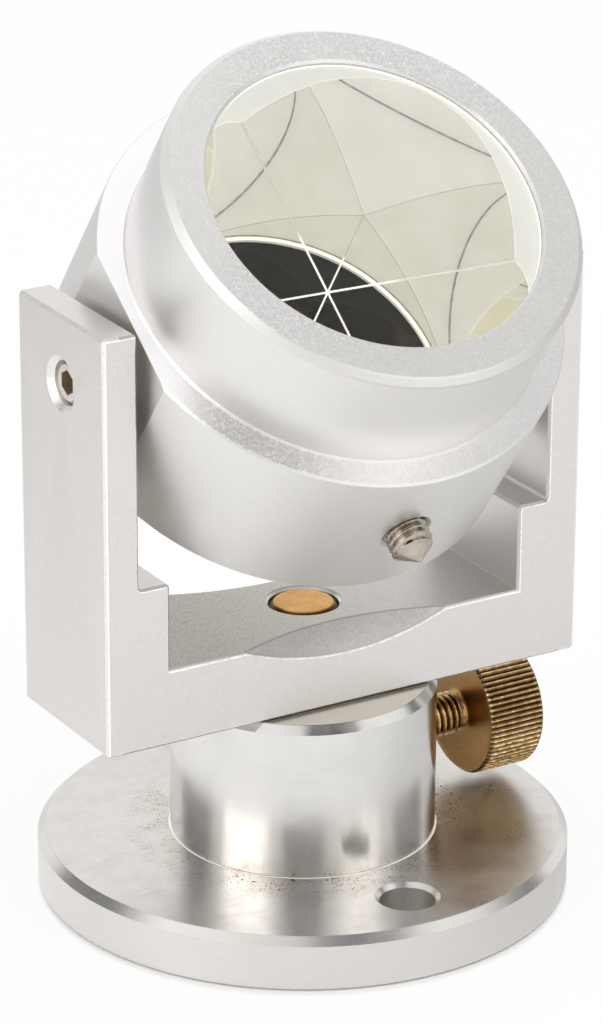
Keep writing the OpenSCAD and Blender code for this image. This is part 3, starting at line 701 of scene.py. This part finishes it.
def prism():
    """Corner-cube glass. With the apex at 0, height z of the silvered faces over the plan radius r
    and angle a is sqrt(2) r cos(a - m), m being a face's middle; the ground bevels of width b along
    the cube's three edges, at angles e, lie at z = r cos(a - e) / sqrt(2) + 0.87 b. Faces and side
    meet on the cylinder."""
    count, root2, half = 61, math.sqrt(2), math.radians(60)
    lift = GLASS_BEVEL * math.sqrt(3) / 2
    rows, faces, skins = [np.array([[0, 0, lift]])], [], []

    def inner(d):
        """Radius at which a silvered face meets the bevels, at angle d from the face's middle."""
        return lift / (root2 * np.cos(d) - np.cos(np.abs(d) - half) / root2)

    def on_face(r, d, mid):
        return np.stack([r * np.cos(mid + d), r * np.sin(mid + d), root2 * r * np.cos(d)], -1)

    def put(row):
        first = sum(map(len, rows))
        rows.append(row)
        return np.arange(first, first + len(row))

    def closed(row):
        return np.append(row, row[0])

    def strip(a, b, skin):
        faces.extend(np.stack([a[:-1], a[1:], b[1:], b[:-1]], -1).tolist())
        skins.extend([skin] * (len(a) - 1))

    def fan(middle, row, row_skins):
        faces.extend(np.stack([row[:-1], row[1:], np.full(len(row) - 1, middle)], -1).tolist())
        skins.extend(row_skins)

    # The angle at which the bevel's edge leaves the silver, found by halving
    silver_r = GLASS_R - SILVER_EDGE
    low, high = 0.0, half - 1e-6
    for _ in range(60):
        middle = (low + high) / 2
        low, high = (middle, high) if inner(middle) < silver_r else (low, middle)
    steps = np.linspace(-low, low, count)
    walls = []
    for k in range(3):
        mid = GLASS_TURN + np.radians(120 * k)
        near = put(on_face(inner(steps), steps, mid))
        edge = put(on_face(np.full(count, silver_r), steps, mid))
        out = put(on_face(np.full(count, GLASS_R), steps, mid))
        strip(near, edge, SILVER)
        strip(edge, out, COAT)
        fan(0, near, np.repeat([BEVEL + (k + 2) % 3, BEVEL + k], count // 2).tolist())
        walls.append((near, edge, out))
    for k in range(3):
        here, after = walls[k], walls[(k + 1) % 3]
        faces.append([0, *(int(row[-1]) for row in here), *(int(row[0]) for row in after[::-1])])
        skins.append(BEVEL + k)
    ring = np.concatenate([out for _, _, out in walls])
    rise = np.vstack(rows)[ring]
    rise[:, 2] = GLASS_H - GLASS_RIM
    shoulder = put(rise.copy())
    rise[:, :2] *= (GLASS_R - GLASS_RIM) / GLASS_R
    rise[:, 2] = GLASS_H
    front = put(rise)
    centre = put(np.array([[0, 0, GLASS_H]]))[0]
    strip(closed(ring), closed(shoulder), SIDE)
    strip(closed(shoulder), closed(front), RIM)
    fan(centre, closed(front), [GLASS] * len(front))
    placed = np.vstack(rows)
    placed[:, 2] += GLASS_FRONT - GLASS_H
    cube = piece("prism_glass_cube", in_head(placed), faces, "head", "prism_glass",
                 glass_skins(), skins)
    # Light reaches the ground side through the front face as it does in the real glass
    cube.visible_shadow = False


thumb_screw()
grub_screws()
prism()


def seen_plain(tree):
    """1 for the rays by which the camera, metal and glass see a thing, and 0 for light on it."""
    path = add(tree, "LightPath")
    seen = add(tree, "Math", path.outputs["Is Camera Ray"], path.outputs["Is Glossy Ray"], **LARGER)
    return add(tree, "Math", seen, path.outputs["Is Transmission Ray"], **LARGER)


def floor_paint():
    """Matt white paint. It is seen as the white backdrop, apart from a share that keeps the
    object's shadow, and apart from the floor under the flange, where no light reaches. Metal also
    shows how the floor is dimmer to the right, where the object shades it from the windows."""
    mat, tree, shader, coords = material("floor_paint", Base_Color=linear("#f6f6f5"), Roughness=0.9)
    place = coords.outputs["Object"]
    far = add(tree, "VectorMath", place, tuple(UNDER_FLANGE * MM), operation="DISTANCE")
    open_floor = add(tree, "MapRange", far, (FLANGE_R - 0.5) * MM, (FLANGE_R + 0.2) * MM,
                     0.0, 0.86, **EASED)
    glow = add(tree, "Math", seen_plain(tree), open_floor, **TIMES)
    right = add(tree, "VectorMath", place, (0.7, 0.7, 0), operation="DOT_PRODUCT")
    dim = add(tree, "MapRange", right, -15 * MM, 90 * MM, 1.0, 0.62, **EASED)
    shade = add(tree, "VectorMath", place, tuple(SHADED_SPOT * MM), operation="DISTANCE")
    shade = add(tree, "MapRange", shade, 12 * MM, 73 * MM, 0.75, 1.0, **EASED)
    dim = add(tree, "Math", dim, shade, **TIMES)
    path = add(tree, "LightPath")
    straight = add(tree, "Math", path.outputs["Is Camera Ray"],
                   path.outputs["Is Transmission Ray"], **LARGER)
    white = add(tree, "Emission", (1, 1, 1, 1), add(tree, "Math", dim, straight, **LARGER))
    tree.links.new(outlet(add(tree, "MixShader", glow, shader, white)),
                   tree.nodes["Material Output"].inputs["Surface"])
    return mat


def card(name, centre, size, skin, facing=None):
    """Flat stage board of size mm, level or facing a point."""
    w, h = size[0] / 2 * MM, size[1] / 2 * MM
    mesh = bpy.data.meshes.new(name)
    mesh.from_pydata([(-w, -h, 0), (w, -h, 0), (w, h, 0), (-w, h, 0)], [], [(0, 1, 2, 3)])
    mesh.materials.append(skin)
    obj = bpy.data.objects.new(name, mesh)
    scene.collection.objects.link(obj)
    obj.location = Vector(centre) * MM
    if facing is not None:
        obj.rotation_euler = (Vector(facing) - Vector(centre)).to_track_quat("Z", "Y").to_euler()
    return obj


def dark_card(name, turn, height, distance, size, tone, clear=None):
    """Dark board that only metal reflects. turn is its compass angle from the camera, to the left,
    and height its angle above level, in degrees, both seen from the object. With clear, the board
    fades into the white room from that distance to twice as far, in mm from its middle."""
    a, e = math.radians(CAMERA_TURN + turn), math.radians(height)
    centre = distance * Vector((-math.sin(a) * math.cos(e), -math.cos(a) * math.cos(e),
                                math.sin(e)))
    skin, tree, shader, coords = material(name + "_paint", Base_Color=linear(tone), Roughness=0.9,
                                          Emission_Color=(1, 1, 1, 1))
    if clear is not None:
        away = add(tree, "VectorMath", coords.outputs["Object"], operation="LENGTH")
        fade = add(tree, "MapRange", away, clear * MM, 2 * clear * MM, **EASED)
        feed(tree, shader, Emission_Strength=fade)
    obj = card(name, centre + MIDDLE, size, skin, facing=MIDDLE)
    obj.visible_camera = obj.visible_diffuse = obj.visible_shadow = False
    obj.visible_transmission = False


def lamp(name, centre, size, watts, glossy=True):
    """Soft square lamp that looks at the object."""
    data = bpy.data.lights.new(name, "AREA")
    data.shape = "SQUARE"
    data.size = size * MM
    data.energy = watts
    obj = bpy.data.objects.new(name, data)
    scene.collection.objects.link(obj)
    obj.location = Vector(centre) * MM
    obj.rotation_euler = (MIDDLE - Vector(centre)).to_track_quat("-Z", "Y").to_euler()
    obj.visible_camera = False
    obj.visible_glossy = glossy


# The stage: the middles of the floor that the flange hides, a little towards the camera, and of
# the floor that the object shades, the point that boards and lamps face, and the camera as it was
# fitted to the photo
UNDER_FLANGE = Vector((-0.503, -0.864, 0)) * 1.1
SHADED_SPOT = Vector((41, -19, 0))
MIDDLE = Vector((0, 0, 50))
EYE = Vector((-243.637, -407.275, 232.972))
LOOK = Vector((0.46480, 0.79848, -0.38261))
CAMERA_TURN = 30.2
PHOTO_W, PHOTO_H = 603, 1024
FOCAL_PX = 4633.88
CENTRE_PX = (252.44, 572.71)
camera = bpy.data.objects.new("camera", bpy.data.cameras.new("camera"))
scene.collection.objects.link(camera)
camera.location = EYE * MM
camera.rotation_euler = LOOK.to_track_quat("-Z", "Y").to_euler()
camera.data.sensor_width = 36.0
camera.data.lens = FOCAL_PX * camera.data.sensor_width / PHOTO_H
camera.data.shift_x = (PHOTO_W / 2 - CENTRE_PX[0]) / PHOTO_H
camera.data.shift_y = (CENTRE_PX[1] - PHOTO_H / 2) / PHOTO_H
camera.data.clip_start = 0.01
scene.camera = camera

card("floor", (0, 0, -0.05), (6000, 6000), floor_paint())
black = material("camera_card_paint", Base_Color=linear("#0b0b10"), Roughness=0.9)[0]
behind = card("camera_card", EYE + 30 * (EYE - MIDDLE).normalized(), (190, 190), black,
              facing=MIDDLE)
behind.visible_camera = behind.visible_diffuse = behind.visible_shadow = False
behind.visible_glossy = False
dark_card("dark_camera_side", 0, 28, 560, (330, 250), "#101012")
dark_card("dark_side_left", 107, 28, 640, (440, 380), "#66676b")
dark_card("dark_side_right", -103, 19, 640, (420, 260), "#5c5d61")
dark_card("dark_overhead", -40, 64, 900, (500, 440), "#2c2d30")
dark_card("dark_above_glass", -103, 61, 620, (200, 200), "#101012", clear=47)

lamp("soft_box_left", (-950, -150, 330), 700, 2.5)
lamp("soft_box_right", (330, -880, 420), 600, 0.9)
lamp("soft_box_top", (100, -200, 1100), 900, 3.2, glossy=False)

world = bpy.data.worlds.new("studio")
world.use_nodes = True
tree = world.node_tree
tree.nodes.clear()
level = add(tree, "MapRange", seen_plain(tree), 0.0, 1.0, 0.8, 1.0)
add(tree, "OutputWorld", add(tree, "Background", (1, 1, 1, 1), level))
scene.world = world
scene.view_settings.view_transform = "Standard"
scene.cycles.max_bounces = 24
scene.cycles.glossy_bounces = 12
scene.cycles.transmission_bounces = 16
